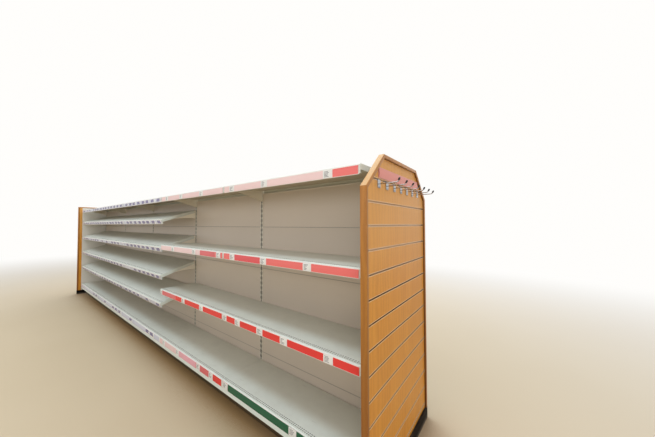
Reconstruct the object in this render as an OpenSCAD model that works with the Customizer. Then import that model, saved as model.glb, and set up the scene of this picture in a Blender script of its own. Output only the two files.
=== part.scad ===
// Double-sided shop shelving run, five bays long, with slatted wooden end panels.
// X runs along the shelving, Y across it and Z up. The origin is on the floor,
// under the middle of the first upright, and the run goes towards minus X.
// The front side is at minus Y, and the rear side repeats it.

/* [Run] */
// Distance between upright centres in a bay with level shelves
bay_w = 1000; // [700:10:1330]
// Distance between upright centres in a bay with sloping shelves
slope_bay_w = 1100; // [700:10:1330]
// Number of bays
bays = 5; // [5:1:5]
// Bays with level shelves, counted from the near end
level_bays = 2; // [1:1:4]

/* [Uprights] */
// Width of an upright, along the run
post_w = 30; // [28:1:40]
// Depth of an upright, across the run
post_d = 40; // [36:1:80]
// Wall of an upright
post_wall = 2; // [1.5:0.1:3]
// Plain tube above the top slot
post_over = 6.5; // [4:0.5:20]
// Distance from one slot to the next
slot_pitch = 35; // [32:1:50]
// Height of a slot
slot_h = 20; // [19:0.5:24]
// Width of a slot
slot_w = 4; // [3.6:0.1:5]
// Distance of each slot column from the middle of the upright
slot_x = 7; // [6:0.5:9]
// Height of the lowest slot's lower edge
slot_z0 = 183.5; // [176:0.5:240]

/* [Shelf levels] */
// Slot number that carries the top shelves
top_slot = 34; // [34:1:38]
// Slot number that carries the upper level shelf
upper_slot = 22; // [20:1:25]
// Slot number that carries the lower level shelf
lower_slot = 11; // [8:1:14]
// Slot number that carries the highest sloping shelf
slope_slot = 31; // [31:1:31]
// Slots between one sloping shelf and the next
slope_step = 7; // [6:1:7]
// Sloping shelves on one side of a bay
slope_rows = 4; // [2:1:4]
// How far the front of a sloping shelf drops
slope_drop = 90; // [60:5:100]

/* [Shelves] */
// Depth of a shelf, from the upright to the outside of its front edge
shelf_d = 298; // [250:1:500]
// Thickness of the sheet steel
sheet = 1.5; // [1:0.1:2]
// Height of a shelf's front edge
fascia_h = 40; // [34:1:50]
// Width of the folds that stiffen the edges
fold = 12; // [8:1:16]
// Height of a shelf's back fold
back_fold = 22; // [18:1:26]
// Height of a shelf's side folds
side_fold = 25; // [18:1:30]
// Radius of the front edge's bend
edge_r = 4; // [2:0.5:6]
// Width of the stiffening channel under a shelf
rib_w = 60; // [40:5:80]
// Depth of the stiffening channel
rib_h = 11; // [8:1:15]
// Space between two shelves that meet at an upright
shelf_gap = 2; // [1:0.5:4]
// Space between a shelf and the uprights behind it
back_gap = 1; // [0.5:0.1:2]
// Space between a bracket and the folds beside it
notch_gap = 4; // [2:0.5:10]

/* [Brackets] */
// Thickness of a bracket plate
bracket_t = 3; // [2.5:0.1:3.4]
// Height of a bracket at the upright
bracket_h = 78; // [70:1:90]
// Height of a bracket at its front end
nose_h = 17; // [12:1:24]
// Height of a bracket's top edge over the slot that carries it
seat_up = 15; // [14:0.5:18]
// Height of a hook's neck in its slot
neck_h = 10; // [8:0.5:11]
// Length of a hook's tongue below the slot edge
tongue = 7; // [5:0.5:8]
// Thickness of a hook's tongue
tongue_t = 3; // [2:0.5:4]
// Bevel of a hook's upper corner
hook_bevel = 3; // [1:0.5:4]
// Play of a hook behind the wall that it hangs on
hook_play = 0.4; // [0.2:0.1:1]
// Space between a bracket's front end and the fold of the shelf's front edge
nose_gap = 4; // [1:0.5:10]
// How sharply a bracket's lower edge curves
bracket_curve = 1.7; // [1:0.1:2.5]

/* [Ticket strips] */
// Height of a ticket strip
strip_h = 42; // [36:1:44]
// Thickness of a ticket strip over its lips
strip_t = 3; // [2:0.5:5]
// Thickness of the strip behind the tickets
strip_back = 1.2; // [0.8:0.1:1.5]
// Height of a strip's upper and lower lip
strip_lip = 4; // [2:0.5:6]
// Distance from a strip's end to the middle of the upright
strip_in = 7; // [2:0.5:20]

/* [Base] */
// Height of the base deck's surface
base_z = 170; // [150:1:176]
// Height of the base deck's front edge
base_fascia = 78; // [60:1:100]
// How far the kick plate stands behind the front edge
kick_back = 60; // [30:1:100]
// Height of the kick plate's top
kick_top = 120; // [80:1:140]
// Space between the kick plate and the floor
kick_gap = 2; // [1:0.5:6]
// Height of the underside of a base foot
foot_z = 24; // [18:1:36]
// Height of a base foot at its front end
foot_nose = 110; // [90:1:120]
// Length of the cut at a base foot's lower front corner
foot_cut = 40; // [20:1:50]
// Distance of a levelling screw from the uprights' face
screw_y = 165; // [100:1:180]
// Radius of a levelling foot's pad
pad_r = 17; // [12:1:24]
// Thickness of a levelling foot's pad
pad_h = 8; // [5:1:12]
// Radius of a levelling foot's screw
screw_r = 5; // [4:0.5:6]

/* [Back panels] */
// Height of one back panel
panel_h = 300; // [200:10:400]
// Height of the second joint between back panels
panel_z0 = 226; // [190:2:300]
// Thickness of a back panel over its folds
panel_t = 12; // [10:1:14]
// How far a back panel lies behind the uprights' face
panel_in = 2; // [1:0.5:4]
// Play of a back panel between two uprights
panel_play = 0.3; // [0.2:0.1:0.6]
// Least height of a back panel under the top tie rail
panel_rest = 60; // [20:5:120]
// Height of the tie rail at the floor
low_rail_h = 40; // [30:1:60]
// Height of the underside of the low tie rail
low_rail_z = 60; // [40:1:80]
// Height of the tie rail under the top shelves
top_rail_h = 24; // [16:1:30]

/* [End panels] */
// Width of an end panel
end_w = 742; // [720:1:1100]
// Height of an end panel
end_h = 1443; // [1435:1:1600]
// Width of the near panel's cut-off upper corners
corner_w = 163; // [80:1:220]
// Height of the near panel's cut-off upper corners
corner_h = 153; // [80:1:220]
// Width of the frame's members
frame_w = 17; // [12:1:30]
// Joint between two members of the frame
mitre_gap = 0.2; // [0.1:0.1:0.5]
// Thickness of the grooved board
board_t = 18; // [16:1:22]
// How far the frame stands proud of the board
frame_proud = 10; // [4:1:16]
// Height of the black kick board
end_kick_h = 62; // [40:1:80]
// Distance of the board's face from the middle of the end upright
face_x = 43; // [40:1:60]
// Height of the lowest groove
groove_z0 = 89; // [84:1:120]
// Distance from one groove to the next
groove_pitch = 95.4; // [75:0.1:120]
// Height of a groove's mouth
groove_mouth = 9; // [8:0.5:12]
// Height of a groove behind its lips
groove_in = 20; // [18:0.5:24]
// Thickness of a groove's lips
groove_lip = 5; // [4:0.5:6]
// Depth of a groove
groove_d = 12; // [11:0.5:13]
// Play of the groove's liner
liner_play = 0.2; // [0.1:0.05:0.3]
// Wall of the groove's liner
liner_wall = 0.8; // [0.6:0.1:1]
// Height of the liner's flanges over the groove's edges
liner_flange = 2; // [1:0.5:6]
// Height of the plates that fix an end panel
fixing_h = 60; // [40:5:100]
// Depth of the plates that fix an end panel, across the run
fixing_d = 34; // [20:1:60]
// Distance of the lowest plate from the kick board
fixing_low = 100; // [60:5:200]
// Distance of the highest plate from the upright's top
fixing_top = 20; // [10:1:40]

/* [Ticket rail and hooks] */
// Height of the end panel's ticket rail
rail_h = 45; // [25:1:48]
// Thickness of the end panel's ticket rail
rail_t = 3; // [2:0.5:5]
// Space between the top groove and the ticket rail
rail_up = 2.5; // [1:0.5:10]
// Number of display hooks
hooks = 7; // [2:1:7]
// Distance from one hook to the next
hook_pitch = 82; // [40:1:85]
// Length of a hook
hook_l = 80; // [60:5:250]
// Radius of a hook's wire
wire_r = 2.5; // [2:0.25:3]
// Length of a hook's raised end
hook_tip = 16; // [10:1:30]
// Width of a hook's plate
hook_plate_w = 26; // [18:1:34]
// Height of a hook's plate
hook_plate_h = 34; // [28:1:44]
// Thickness of a hook's plate
hook_plate_t = 2; // [1.5:0.1:2]
// Angle by which a hook's end rises
hook_rise = 60; // [30:5:80]
// Radius of the ball on a hook's end
hook_ball_r = 4; // [3:0.5:6]
// Play of a hook's lip above its seat in the liner
hook_lift = 1; // [0.5:0.1:2]

/* [Hidden] */
$fn = 32;

cream = [0.90, 0.88, 0.82];
beige = [0.80, 0.77, 0.70];
wood = [0.82, 0.60, 0.36];
strip_white = [0.93, 0.91, 0.88];
red = [0.85, 0.40, 0.37];
liner_beige = [0.86, 0.78, 0.66];
alloy = [0.80, 0.80, 0.80];
black = [0.08, 0.07, 0.06];
dark = [0.25, 0.25, 0.25];

post_h = slot_z(top_slot) + slot_h + post_over;
front = post_d / 2 + shelf_d + strip_t;
slope = asin(slope_drop / shelf_d);
slope_shift = back_gap + back_fold * sin(slope);
slope_d = (shelf_d + strip_t - slope_shift) / cos(slope) - strip_t;
foot_l = shelf_d + strip_t - kick_back - sheet;
rail_top = slot_z(top_slot) + seat_up - slot_h;
board_h = end_h - frame_w;
groove_n = floor((board_h - rail_h - rail_up - groove_in - groove_z0) / groove_pitch) + 1;
top_groove = groove_z0 + (groove_n - 1) * groove_pitch;
flange_face = liner_play + liner_wall;

function slot_z(n) = slot_z0 + n * slot_pitch;
function is_level(j) = j <= level_bays;
function width(j) = is_level(j) ? bay_w : slope_bay_w;
function clear_w(j) = width(j) - post_w;

// Middle of upright i: it stands at the near end of bay i
function post_x(i) = i == 1 ? 0 : post_x(i - 1) - width(i - 1);
function level_slots() = [lower_slot, upper_slot, top_slot];
function slope_slots() = [for (k = [0:slope_rows - 1]) slope_slot - k * slope_step];

// An end panel's cut-off corner runs along corner_h * y + corner_w * z = corner_at(m),
// where m is how far the outline is pulled in
function corner_at(m) = corner_h * end_w / 2 + corner_w * (end_h - corner_h)
  - m * sqrt(pow(corner_w, 2) + pow(corner_h, 2));

// Half width of an end panel's board at a height
function half_at(z, cut) = cut
  ? min(end_w / 2 - frame_w, (corner_at(frame_w) - corner_w * z) / corner_h)
  : end_w / 2 - frame_w;

// A flat outline in Y and Z, drawn out along X
module along_x(x, l) {
  translate([x, 0, 0])
    rotate([90, 0, 90])
      linear_extrude(l)
        children();
}

module rear(is_rear) {
  mirror([0, is_rear ? 1 : 0, 0])
    children();
}

module far_side() {
  translate([post_x(bays + 1), 0, 0])
    mirror([1, 0, 0])
      children();
}

// Upright: a square tube with two columns of slots in its front and rear walls
module slotted_wall() {
  difference() {
    translate([-post_w / 2, 0])
      square([post_w, post_h]);
    for (n = [0:top_slot], s = [-1, 1])
      translate([s * slot_x - slot_w / 2, slot_z(n)])
        square([slot_w, slot_h]);
  }
}

module upright(i) {
  color(cream)
  translate([post_x(i), 0, 0]) {
    for (s = [0, 1])
      mirror([0, s, 0])
        translate([0, -post_d / 2 + post_wall, 0])
          rotate([90, 0, 0])
            linear_extrude(post_wall)
              slotted_wall();
    for (s = [-1, 1])
      translate([s * (post_w - post_wall) / 2 - post_wall / 2, -post_d / 2, 0])
        cube([post_wall, post_d, post_h]);
    for (z = [0, post_h - post_wall])
      translate([-post_w / 2, -post_d / 2, z])
        cube([post_w, post_d, post_wall]);
  }
}

// Base foot: a folded channel, open below, that carries the base decks
module base_foot() {
  top = base_z - sheet;
  difference() {
    along_x(-post_w / 2, post_w)
      polygon([[0, foot_z], [0, top], [-foot_l, top], [-foot_l, top - foot_nose],
        [-foot_l + foot_cut, foot_z]]);
    along_x(-post_w / 2 + post_wall, post_w - 2 * post_wall)
      polygon([[-post_wall, foot_z - 1], [-post_wall, top - post_wall],
        [-foot_l + post_wall, top - post_wall], [-foot_l + post_wall, foot_z - 1]]);
  }
  translate([-post_w / 2, -screw_y - pad_r, foot_z])
    cube([post_w, 2 * pad_r, post_wall]);
}

module base_feet(is_rear) {
  color(cream)
  rear(is_rear)
    for (i = [1:bays + 1])
      translate([post_x(i), -post_d / 2, 0])
        base_foot();
}

module levelling_feet() {
  color(dark)
    for (i = [1:bays + 1], s = [-1, 1])
      translate([post_x(i), s * (post_d / 2 + screw_y), 0]) {
        cylinder(r = pad_r, h = pad_h);
        cylinder(r = screw_r, h = foot_z);
      }
}

module tie_rails() {
  color(cream)
    for (j = [1:bays])
      translate([post_x(j + 1) + post_w / 2, -post_d / 2 + panel_in + panel_t, 0]) {
        translate([0, 0, low_rail_z])
          cube([clear_w(j), post_d - 2 * panel_in - 2 * panel_t, low_rail_h]);
        translate([0, 0, rail_top - top_rail_h])
          cube([clear_w(j), post_d - 2 * panel_in - 2 * panel_t, top_rail_h]);
      }
}

// Back panel: a sheet with its upper and lower edges folded back
module back_panel(w, z0, z1) {
  along_x(panel_play, w - 2 * panel_play)
    translate([-post_d / 2 + panel_in, 0])
      polygon([[0, z0], [panel_t, z0], [panel_t, z0 + sheet], [sheet, z0 + sheet],
        [sheet, z1 - sheet], [panel_t, z1 - sheet], [panel_t, z1], [0, z1]]);
}

function panel_edges() = concat([low_rail_z],
  [for (z = panel_z0; z < rail_top - panel_rest; z = z + panel_h) z], [rail_top]);

module back_panels(j) {
  edges = panel_edges();
  color(beige)
  translate([post_x(j + 1) + post_w / 2, 0, 0])
    for (s = [false, true])
      rear(s)
        for (k = [0:len(edges) - 2])
          back_panel(clear_w(j), edges[k] + panel_play, edges[k + 1] - panel_play);
}

// Section of a shelf: the deck, its rounded front edge and the fold under it
function edge_arc(d) = [for (a = [90:15:180])
  [-d + edge_r + edge_r * cos(a), -edge_r + edge_r * sin(a)]];

module shelf_section(d, f) {
  polygon(concat([[-back_gap, 0]], edge_arc(d),
    [[-d, -f], [-d + fold, -f], [-d + fold, -f + sheet], [-d + sheet, -f + sheet],
    [-d + sheet, -edge_r], [-d + edge_r, -sheet], [-back_gap, -sheet]]));
}

module tray(w, d, f, sides) {
  l = w - shelf_gap;
  notch = slot_x + slot_w + notch_gap;
  along_x(shelf_gap / 2, l)
    shelf_section(d, f);
  along_x(notch + post_w / 2, l + shelf_gap - 2 * notch - post_w)
    polygon([[-back_gap, -sheet / 2], [-back_gap, -back_fold], [-back_gap - fold, -back_fold],
      [-back_gap - fold, -back_fold + sheet], [-back_gap - sheet, -back_fold + sheet],
      [-back_gap - sheet, -sheet / 2]]);
  along_x(notch + post_w / 2, l + shelf_gap - 2 * notch - post_w)
    translate([-d / 2, 0])
      polygon([[-rib_w / 2, -sheet / 2], [-rib_w / 2, -rib_h], [rib_w / 2, -rib_h],
        [rib_w / 2, -sheet / 2], [rib_w / 2 - sheet, -sheet / 2],
        [rib_w / 2 - sheet, -rib_h + sheet], [-rib_w / 2 + sheet, -rib_h + sheet],
        [-rib_w / 2 + sheet, -sheet / 2]]);
  if (sides)
    for (x = [shelf_gap / 2, shelf_gap / 2 + l - sheet])
      translate([x, -d + sheet / 2, -side_fold])
        cube([sheet, d - sheet / 2 - back_gap - fold, side_fold - sheet / 2]);
}

// Puts a shelf or its strip at the slot that carries it
module at_slot(j, n) {
  translate([post_x(j + 1), -post_d / 2, slot_z(n) + seat_up + sheet])
    children();
}

// Tilts a sloping shelf or its strip, clear of the upright behind its back fold
module sloped() {
  translate([0, -slope_shift, 0])
    rotate([slope, 0, 0])
      children();
}

module shelves(j, is_rear) {
  color(cream)
  rear(is_rear) {
    for (n = is_level(j) ? level_slots() : [top_slot])
      at_slot(j, n)
        tray(width(j), shelf_d, fascia_h, true);
    if (!is_level(j))
      for (n = slope_slots())
        at_slot(j, n)
          sloped()
            tray(width(j), slope_d, fascia_h, true);
  }
}

module base_decks(is_rear) {
  color(cream)
  rear(is_rear)
    for (j = [1:bays])
      translate([post_x(j + 1), -post_d / 2, base_z])
        tray(width(j), shelf_d, base_fascia, false);
}

module kick_plates(is_rear) {
  color(cream)
  rear(is_rear)
    for (j = [1:bays])
      translate([post_x(j + 1) + shelf_gap / 2, -front + kick_back, kick_gap])
        cube([width(j) - shelf_gap, sheet, kick_top - kick_gap]);
}

// Bracket: a plate with a curved lower edge and two hooks that drop into the slots
function lower_edge(l) = [for (k = [0:8])
  [-l * k / 8, -nose_h - (bracket_h - nose_h) * pow(1 - k / 8, bracket_curve)]];

module hook_shape(z) {
  polygon([[0, z], [post_wall + hook_play, z], [post_wall + hook_play, z - tongue],
    [post_wall + hook_play + tongue_t, z - tongue],
    [post_wall + hook_play + tongue_t, z + neck_h - hook_bevel],
    [post_wall + hook_play + tongue_t - hook_bevel, z + neck_h], [0, z + neck_h]]);
}

module bracket_plate(x, tilt) {
  l = shelf_d - fold - nose_gap;
  drop = tan(tilt);
  start = tilt > 0 ? slope_shift : 0;
  top = seat_up - (tilt > 0 ? sheet * (1 / cos(tilt) - 1) : 0);
  edge = [for (p = lower_edge(l)) [p[0], p[1] + seat_up - drop * max(0, -p[0] - start)]];
  along_x(x - bracket_t / 2, bracket_t)
    union() {
      polygon(concat([for (p = edge) p], [[-l, top - drop * (l - start)], [-start, top], [0, top]]));
      hook_shape(0);
      hook_shape(-slot_pitch);
    }
}

module brackets(is_rear) {
  color(cream)
  rear(is_rear)
    for (j = [1:bays], e = [slot_x, width(j) - slot_x])
      for (n = is_level(j) ? level_slots() : concat([top_slot], slope_slots()))
        translate([post_x(j + 1), -post_d / 2, slot_z(n)])
          bracket_plate(e, is_level(j) || n == top_slot ? 0 : slope);
}

// Ticket strip: a clip-on channel with an upper and a lower lip
module strip(w, d) {
  along_x(strip_in, w - 2 * strip_in)
    translate([-d, -edge_r / 2])
      polygon([[0, -edge_r / 2], [-strip_t, -edge_r / 2], [-strip_t, -edge_r / 2 - strip_lip],
        [-strip_back, -edge_r / 2 - strip_lip], [-strip_back, strip_lip - strip_h],
        [-strip_t, strip_lip - strip_h], [-strip_t, -strip_h], [0, -strip_h]]);
}

module ticket_strips(is_rear) {
  color(strip_white)
  rear(is_rear)
    for (j = [1:bays]) {
      translate([post_x(j + 1), -post_d / 2, base_z])
        strip(width(j), shelf_d);
      for (n = is_level(j) ? level_slots() : [top_slot])
        at_slot(j, n)
          strip(width(j), shelf_d);
      if (!is_level(j))
        for (n = slope_slots())
          at_slot(j, n)
            sloped()
              strip(width(j), slope_d);
    }
}

// Outline of an end panel in Y and Z, pulled in by a margin and open at the bottom
function end_outline(m, z0, cut) =
  let(w = end_w / 2 - m, top = end_h - m,
    z1 = (corner_at(m) - corner_h * w) / corner_w,
    y1 = (corner_at(m) - corner_w * top) / corner_h)
  cut ? [[-w, z0], [-w, z1], [-y1, top], [y1, top], [w, z1], [w, z0]]
    : [[-w, z0], [-w, top], [w, top], [w, z0]];

// One straight member of the frame: a and b are its outer corners, c and d the inner ones
module frame_member(a, b, c, d) {
  pull = (b - a) / norm(b - a) * mitre_gap / 2;
  along_x(face_x - board_t, board_t + frame_proud)
    polygon([a + pull, b - pull, c - pull, d + pull]);
}

module end_frame(cut) {
  outer = end_outline(0, end_kick_h, cut);
  inner = end_outline(frame_w, end_kick_h, cut);
  color(wood)
    for (k = [0:len(outer) - 2])
      frame_member(outer[k], outer[k + 1], inner[k + 1], inner[k]);
}

// Grooved board: the T-slots are part of its section
function groove(z) = [[0, z - groove_mouth / 2], [-groove_lip, z - groove_mouth / 2],
  [-groove_lip, z - groove_in / 2], [-groove_d, z - groove_in / 2],
  [-groove_d, z + groove_in / 2], [-groove_lip, z + groove_in / 2],
  [-groove_lip, z + groove_mouth / 2], [0, z + groove_mouth / 2]];
function groove_edges() = [for (k = [0:groove_n - 1], p = groove(groove_z0 + k * groove_pitch)) p];

module end_board(cut) {
  color(wood)
  intersection() {
    translate([face_x, end_w / 2, 0])
      rotate([90, 0, 0])
        linear_extrude(end_w)
          polygon(concat([[0, end_kick_h]], groove_edges(),
            [[0, board_h], [-board_t, board_h], [-board_t, end_kick_h]]));
    along_x(face_x - board_t - 1, board_t + 2)
      polygon(end_outline(frame_w, end_kick_h, cut));
  }
}

// Liner: it wraps the groove and ends in a flange over each edge of the mouth
module liner(z, cut) {
  a = groove_mouth / 2 - liner_play;
  b = groove_in / 2 - liner_play;
  x1 = -groove_lip - liner_play;
  x2 = -groove_d + liner_play;
  w = liner_wall;
  l = half_at(z + groove_in / 2, cut) - liner_play;
  translate([face_x, l, z])
    rotate([90, 0, 0])
      linear_extrude(2 * l)
        polygon([[liner_play, -a], [x1, -a], [x1, -b], [x2, -b], [x2, b], [x1, b], [x1, a],
          [liner_play, a], [liner_play, a + liner_flange], [flange_face, a + liner_flange],
          [flange_face, a - w], [x1 - w, a - w], [x1 - w, b - w], [x2 + w, b - w], [x2 + w, w - b],
          [x1 - w, w - b], [x1 - w, w - a], [flange_face, w - a],
          [flange_face, -a - liner_flange], [liner_play, -a - liner_flange]]);
}

module end_liners(cut) {
  color(liner_beige)
    for (k = [0:groove_n - 1])
      liner(groove_z0 + k * groove_pitch, cut);
}

module end_kick_board() {
  color(black)
    translate([face_x - board_t, -end_w / 2, 0])
      cube([board_t + frame_proud, end_w, end_kick_h]);
}

module end_ticket_rail() {
  z0 = top_groove + groove_mouth / 2 + rail_up;
  l = half_at(z0 + rail_h, true) - liner_play;
  color(red)
    translate([face_x, l, z0])
      rotate([90, 0, 0])
        linear_extrude(2 * l)
          polygon([[0, 0], [rail_t, 0], [rail_t, strip_lip], [strip_back, strip_lip],
            [strip_back, rail_h - strip_lip], [rail_t, rail_h - strip_lip],
            [rail_t, rail_h], [0, rail_h]]);
}

// Display hook: a plate with a lip that hangs in the liner, and a wire arm
module display_hook() {
  half_in = groove_in / 2 - liner_play - liner_wall;
  lip_x = -groove_lip - liner_play - liner_wall - hook_play - flange_face;
  translate([0, hook_plate_w / 2, 0])
    rotate([90, 0, 0])
      linear_extrude(hook_plate_w)
        polygon([[0, 0], [lip_x, 0], [lip_x, half_in - hook_lift],
          [lip_x - hook_plate_t, half_in - hook_lift], [lip_x - hook_plate_t, -hook_plate_t],
          [0, -hook_plate_t], [0, -hook_plate_h], [hook_plate_t, -hook_plate_h],
          [hook_plate_t, 0]]);
  translate([hook_plate_t / 2, 0, -hook_plate_h / 2])
    rotate([0, 90, 0])
      cylinder(r = wire_r, h = hook_l);
  translate([hook_plate_t / 2 + hook_l, 0, -hook_plate_h / 2]) {
    sphere(r = wire_r);
    rotate([0, 90 - hook_rise, 0]) {
      cylinder(r = wire_r, h = hook_tip);
      translate([0, 0, hook_tip])
        sphere(r = hook_ball_r);
    }
  }
}

module end_hooks() {
  color(alloy)
    for (k = [0:hooks - 1])
      translate([face_x + flange_face, (k - (hooks - 1) / 2) * hook_pitch, top_groove - hook_lift])
        display_hook();
}

// Plates between the end uprights and the end panels
module end_fixings() {
  color(cream)
    for (s = [false, true], z = [end_kick_h + fixing_low, post_h / 2, post_h - fixing_h - fixing_top])
      if (s)
        far_side()
          fixing(z);
      else
        fixing(z);
}

module fixing(z) {
  translate([post_w / 2, -fixing_d / 2, z])
    cube([face_x - board_t - post_w / 2, fixing_d, fixing_h]);
}

upright(1);  // upright_1
upright(2);  // upright_2
upright(3);  // upright_3
upright(4);  // upright_4
upright(5);  // upright_5
upright(6);  // upright_6
base_feet(false);  // base_feet_front
base_feet(true);  // base_feet_rear
levelling_feet();
tie_rails();
back_panels(1);  // back_panels_bay_1
back_panels(2);  // back_panels_bay_2
back_panels(3);  // back_panels_bay_3
back_panels(4);  // back_panels_bay_4
back_panels(5);  // back_panels_bay_5
base_decks(false);  // base_decks_front
base_decks(true);  // base_decks_rear
kick_plates(false);  // kick_plates_front
kick_plates(true);  // kick_plates_rear
shelves(1, false);  // shelves_front_bay_1
shelves(2, false);  // shelves_front_bay_2
shelves(3, false);  // shelves_front_bay_3
shelves(4, false);  // shelves_front_bay_4
shelves(5, false);  // shelves_front_bay_5
shelves(1, true);  // shelves_rear_bay_1
shelves(2, true);  // shelves_rear_bay_2
shelves(3, true);  // shelves_rear_bay_3
shelves(4, true);  // shelves_rear_bay_4
shelves(5, true);  // shelves_rear_bay_5
brackets(false);  // brackets_front
brackets(true);  // brackets_rear
ticket_strips(false);  // ticket_strips_front
ticket_strips(true);  // ticket_strips_rear
end_frame(true);  // near_end_frame
end_board(true);  // near_end_board
end_liners(true);  // near_end_liners
end_kick_board();  // near_end_kick_board
end_ticket_rail();  // near_end_ticket_rail
end_hooks();  // near_end_hooks
far_side() end_frame(false);  // far_end_frame
far_side() end_board(false);  // far_end_board
far_side() end_liners(false);  // far_end_liners
far_side() end_kick_board();  // far_end_kick_board
end_fixings();
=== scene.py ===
# %% [markdown]
# # A shop shelving run with grooved end panels
#
# The object is a double-sided run of steel shop shelving, the kind that stands as an island
# in a shop. Two bays have level shelves and three have sloping ones. Each end is closed by a
# wooden panel with horizontal grooves, in which display hooks hang.
#
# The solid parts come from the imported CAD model, which is the frame that everything here is
# built on. This script gives them their finishes, and makes anew what is too fine for the CAD
# model: the mouldings of the wooden frames, the papers and tickets in the strips, and the
# hooks of bent wire.

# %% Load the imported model
import math
from collections import defaultdict
from functools import partialmethod

import bpy
import numpy as np
from mathutils import Matrix, Vector


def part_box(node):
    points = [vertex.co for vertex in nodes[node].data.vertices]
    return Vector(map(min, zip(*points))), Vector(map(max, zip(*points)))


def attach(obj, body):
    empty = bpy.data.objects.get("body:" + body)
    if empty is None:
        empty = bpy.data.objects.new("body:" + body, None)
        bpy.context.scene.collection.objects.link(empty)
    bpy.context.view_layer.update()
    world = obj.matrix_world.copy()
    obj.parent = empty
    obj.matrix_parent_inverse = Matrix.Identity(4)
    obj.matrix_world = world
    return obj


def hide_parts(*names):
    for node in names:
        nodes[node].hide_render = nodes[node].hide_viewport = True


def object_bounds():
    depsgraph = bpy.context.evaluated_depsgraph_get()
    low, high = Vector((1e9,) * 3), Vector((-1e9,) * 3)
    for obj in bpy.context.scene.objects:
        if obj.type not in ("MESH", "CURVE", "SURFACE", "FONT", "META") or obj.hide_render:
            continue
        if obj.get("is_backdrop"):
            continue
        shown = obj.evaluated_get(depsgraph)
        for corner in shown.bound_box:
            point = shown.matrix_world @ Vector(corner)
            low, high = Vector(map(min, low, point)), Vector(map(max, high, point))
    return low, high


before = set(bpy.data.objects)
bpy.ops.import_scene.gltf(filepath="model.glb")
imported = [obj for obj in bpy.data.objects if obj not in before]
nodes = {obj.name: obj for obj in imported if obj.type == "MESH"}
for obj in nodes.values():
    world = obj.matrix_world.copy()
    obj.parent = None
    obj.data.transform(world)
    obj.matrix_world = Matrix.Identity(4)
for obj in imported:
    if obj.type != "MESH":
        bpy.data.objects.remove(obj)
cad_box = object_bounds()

print("CAD nodes:", len(nodes))
print("CAD box:", [round(v, 3) for corner in cad_box for v in corner])

# %% [markdown]
# ## The camera
#
# The photograph was taken with a very wide lens, close to the near end of the run. A camera
# can be moved by eye until it looks right, but the lines of the grooves, the shelf edges and
# the uprights say exactly where this one stood. Its place is written here in the frame's own
# metres, so the render lines up with the photograph.

# %% Camera
PICTURE_W = 655  # pixels
FOCAL_PIXELS = 251.3
SENSOR_W = 36.0  # millimetres
EYE = Vector((0.49963, -1.19866, 1.14373))
YAW = math.radians(37.142)
PITCH = math.radians(1.355)
ROLL = 0.0020944  # radians

look = Vector((-math.sin(YAW) * math.cos(PITCH), math.cos(YAW) * math.cos(PITCH), math.sin(PITCH)))
camera = bpy.data.objects.new("camera", bpy.data.cameras.new("camera"))
bpy.context.scene.collection.objects.link(camera)
camera.data.sensor_width = SENSOR_W
camera.data.lens = SENSOR_W * FOCAL_PIXELS / PICTURE_W
camera.data.clip_start = 0.01
camera.data.clip_end = 100
camera.location = EYE
camera.rotation_mode = "QUATERNION"
camera.rotation_quaternion = look.to_track_quat("-Z", "Y")
camera.rotation_quaternion.rotate(Matrix.Rotation(ROLL, 3, look).to_quaternion())
bpy.context.scene.camera = camera
print("lens:", round(camera.data.lens, 2), "mm")

# %% [markdown]
# ## Sizes taken from the frame
#
# New pieces sit on the CAD parts, so their places are worked out from the boxes of those
# parts. The few sizes that a box can't give, such as the spacing of the slots that carry the
# shelves, are written once here.

# %% Sizes
MM = 0.001  # metres
BAYS = 5
LEVEL_BAYS = 2  # the other bays have sloping shelves
STRIP_T = 3 * MM  # thickness of a ticket strip
STRIP_TOP = 4 * MM  # how far its top edge lies under the deck
STRIP_IN = 7 * MM  # how far it ends before the middle of an upright
BASE_DECK = 170 * MM  # its height
FIRST_DECK = 200 * MM  # where the deck of a shelf in slot 0 would lie
SLOT_PITCH = 35 * MM
LEVEL_SLOTS = {"lower": 11, "upper": 22, "top": 34}
SLOPE_SLOTS = {"slope_1": 10, "slope_2": 17, "slope_3": 24, "slope_4": 31}
SHELF_D = 298 * MM
SLOPE_DROP = 90 * MM  # how much lower the front of a sloping shelf is
SLOPE = math.asin(SLOPE_DROP / SHELF_D)
BACK_FOLD = 22 * MM  # height of a shelf's rear fold
BACK_GAP = 1 * MM  # play between that fold and the uprights

post_boxes = [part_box(f"upright_{i}") for i in range(1, BAYS + 2)]
post_x = [(lo.x + hi.x) / 2 for lo, hi in post_boxes]
post_half_w = (post_boxes[0][1].x - post_boxes[0][0].x) / 2
post_half_d = post_boxes[0][1].y
strip_front = -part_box("ticket_strips_front")[0].y
print("uprights at", [round(x, 3) for x in post_x], "strip front at", round(strip_front, 4))

# %% [markdown]
# ## Turning arrays into meshes
#
# Nearly every new piece is a profile carried along a path: a moulding, a strip of paper, a
# bent wire. Curves with a bevel could do that too, but a mesh that is computed keeps exact
# places and its own UV map. So one function computes such a surface with numpy, as whole
# arrays. The profile is a closed loop of points, every station along the path has its own
# origin and two directions, and a face closes each end. The UV map is in metres, so that
# wood grain can follow each length of moulding.

# %% Swept surfaces
def fix_outward(piece):
    """Turns the faces of a closed piece outwards if its signed volume is negative. That volume
    goes with the sum of a . (b x c) over all triangles."""
    mesh = piece.data
    mesh.calc_loop_triangles()
    points = np.empty(len(mesh.vertices) * 3)
    mesh.vertices.foreach_get("co", points)
    corners = np.empty(len(mesh.loop_triangles) * 3, dtype=np.int32)
    mesh.loop_triangles.foreach_get("vertices", corners)
    a, b, c = points.reshape(-1, 3)[corners.reshape(-1, 3)].transpose(1, 0, 2)
    if np.einsum("ij,ij->", a, np.cross(b, c)) < 0:
        mesh.flip_normals()


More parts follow.
